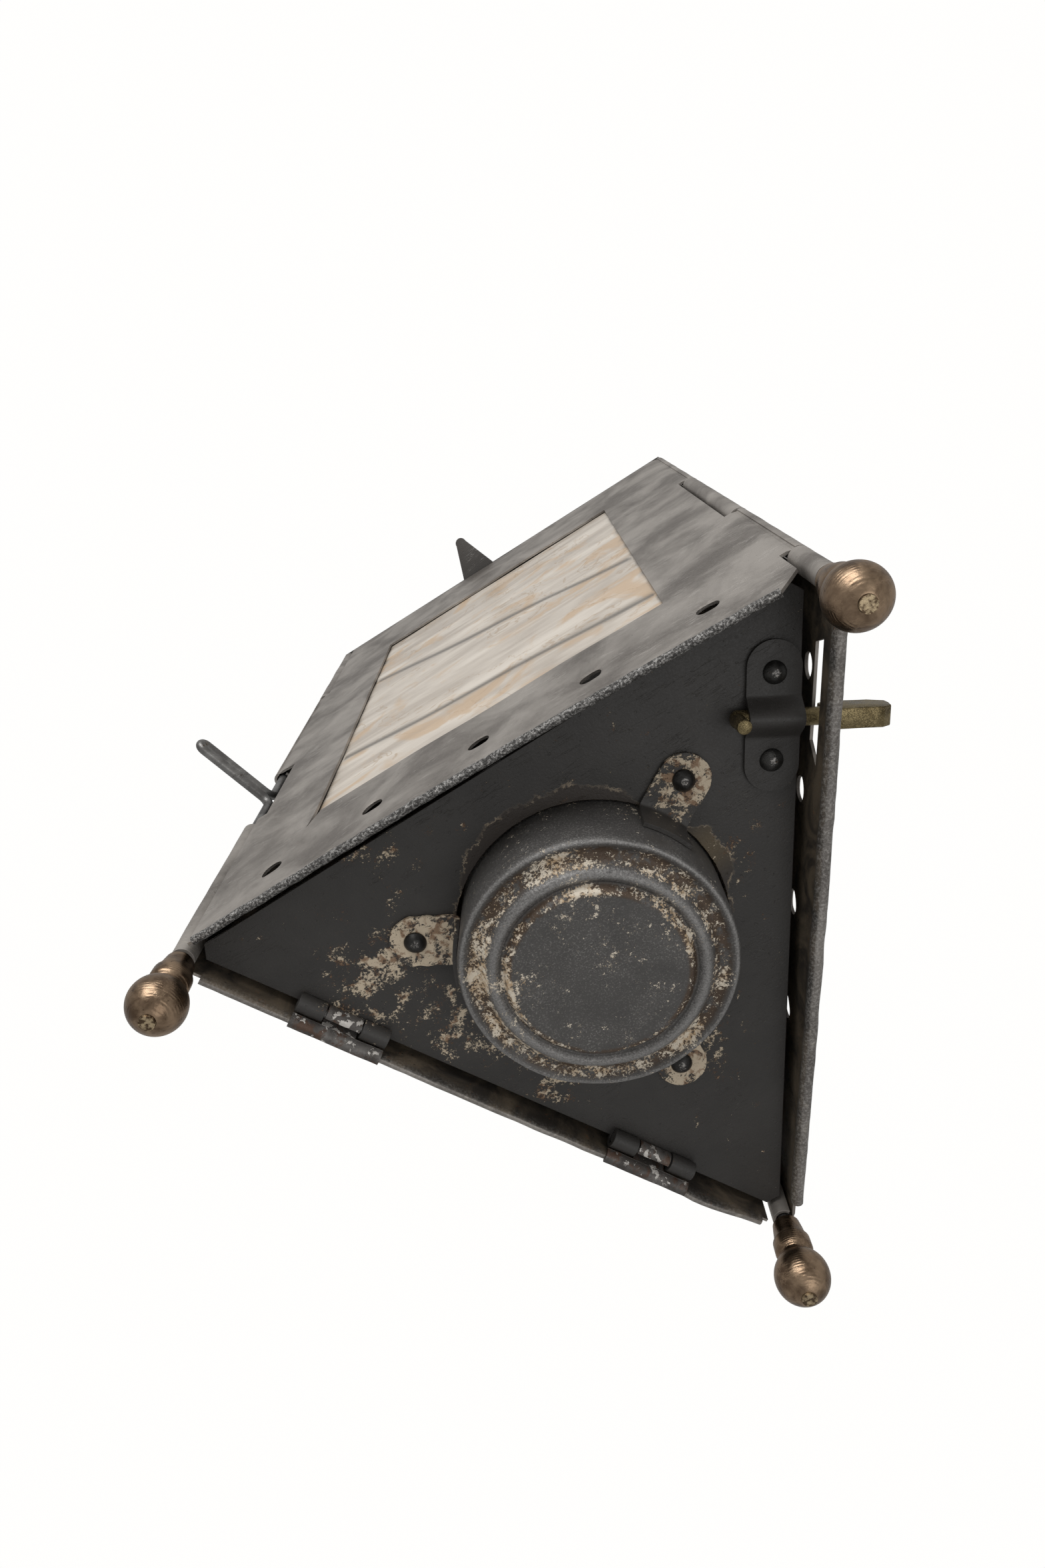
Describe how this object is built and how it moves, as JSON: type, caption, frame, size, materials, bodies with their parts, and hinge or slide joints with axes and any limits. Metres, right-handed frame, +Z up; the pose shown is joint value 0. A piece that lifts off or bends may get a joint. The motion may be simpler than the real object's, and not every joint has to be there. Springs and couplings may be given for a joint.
{
  "type": "folding candle lantern",
  "caption": "Triangular tin candle lantern with mica windows, a hinged door and cover, a turn-bolt latch and brass ball feet.",
  "frame": {"origin": "middle of the outline at the ground, under the tips of the three feet", "axes": "+Z up the lantern, the front wall (door) faces -Y, the wall with the latch slot faces +X and +Y"},
  "size_m": [0.1312, 0.1292, 0.2521],
  "materials": {
    "wall_tin": "old dull tin plate, scratched, bare metal on the rolled hems",
    "base_tin": "blackened tin with cream patches and rust specks",
    "cup_tin": "blackened tin, worn bright on the beads, cream and rust in the grooves",
    "steel_wire": "dull grey wire",
    "rivet_steel": "dark steel rivets with worn heads",
    "foot_brass": "aged bronze-brown brass with turned rings",
    "bolt_brass": "aged olive-brown brass, filed edges",
    "mica": "cloudy mica sheet with amber stains and cleavage lines",
    "wax": "candle wax",
    "wick_cotton": "charred cotton"
  },
  "bodies": {
    "case": {"right_wall": "wall_tin", "left_wall": "wall_tin", "hem_wire_right": "steel_wire", "hem_wire_left": "steel_wire", "rod_right": "steel_wire", "rod_back": "steel_wire", "ball_foot_right": "foot_brass", "ball_foot_back": "foot_brass", "right_pane": "mica", "right_pane_channel": "wall_tin", "base_plate": "base_tin", "base_hinge_straps": "wall_tin", "base_hinge_pins": "steel_wire", "cup": "cup_tin", "cup_ears": "base_tin", "ear_rivets": "rivet_steel", "candle_socket": "wall_tin", "candle": "wax", "wick": "wick_cotton", "latch_bracket": "base_tin", "latch_rivets": "rivet_steel", "cover_hinge_straps": "wall_tin", "cover_hinge_pins": "steel_wire"},
    "door": {"front_wall": "wall_tin", "hem_wire_front": "steel_wire", "front_pane": "mica", "front_pane_channel": "wall_tin"},
    "loop_rod": {"rod_left": "steel_wire", "ball_foot_left": "foot_brass"},
    "turn_bolt": {"latch_bolt": "bolt_brass"},
    "cover": {"top_cover": "base_tin", "cover_skirt": "base_tin", "chimney_collar": "wall_tin", "chimney_cap": "base_tin", "cap_legs": "wall_tin", "cap_eye": "steel_wire"},
    "ring": {"hanging_ring": "steel_wire"}
  },
  "joints": [
    {"name": "door_swing", "type": "hinge", "parent": "case", "child": "door", "pos_m": [-0.05933, -0.04425, 0.0175], "axis": [0, 0, -1], "range_deg": [0, 100]},
    {"name": "loop_turn", "type": "hinge", "parent": "door", "child": "loop_rod", "pos_m": [-0.05933, -0.04425, 0.0175], "axis": [0, 0, -1], "range_deg": [-45, 45]},
    {"name": "latch_turn", "type": "hinge", "parent": "case", "child": "turn_bolt", "pos_m": [0.04869, -0.02377, 0.02656], "axis": [0.8644, 0.501, 0.0436], "range_deg": [0, 90]},
    {"name": "cover_swing", "type": "hinge", "parent": "case", "child": "cover", "pos_m": [-0.03288, 0.00976, 0.215], "axis": [-0.5, -0.866, 0], "range_deg": [0, 110]},
    {"name": "ring_swing", "type": "hinge", "parent": "cover", "child": "ring", "pos_m": [0.00068, -0.00961, 0.24802], "axis": [0, -1, 0], "range_deg": [0, 204]}
  ]
}
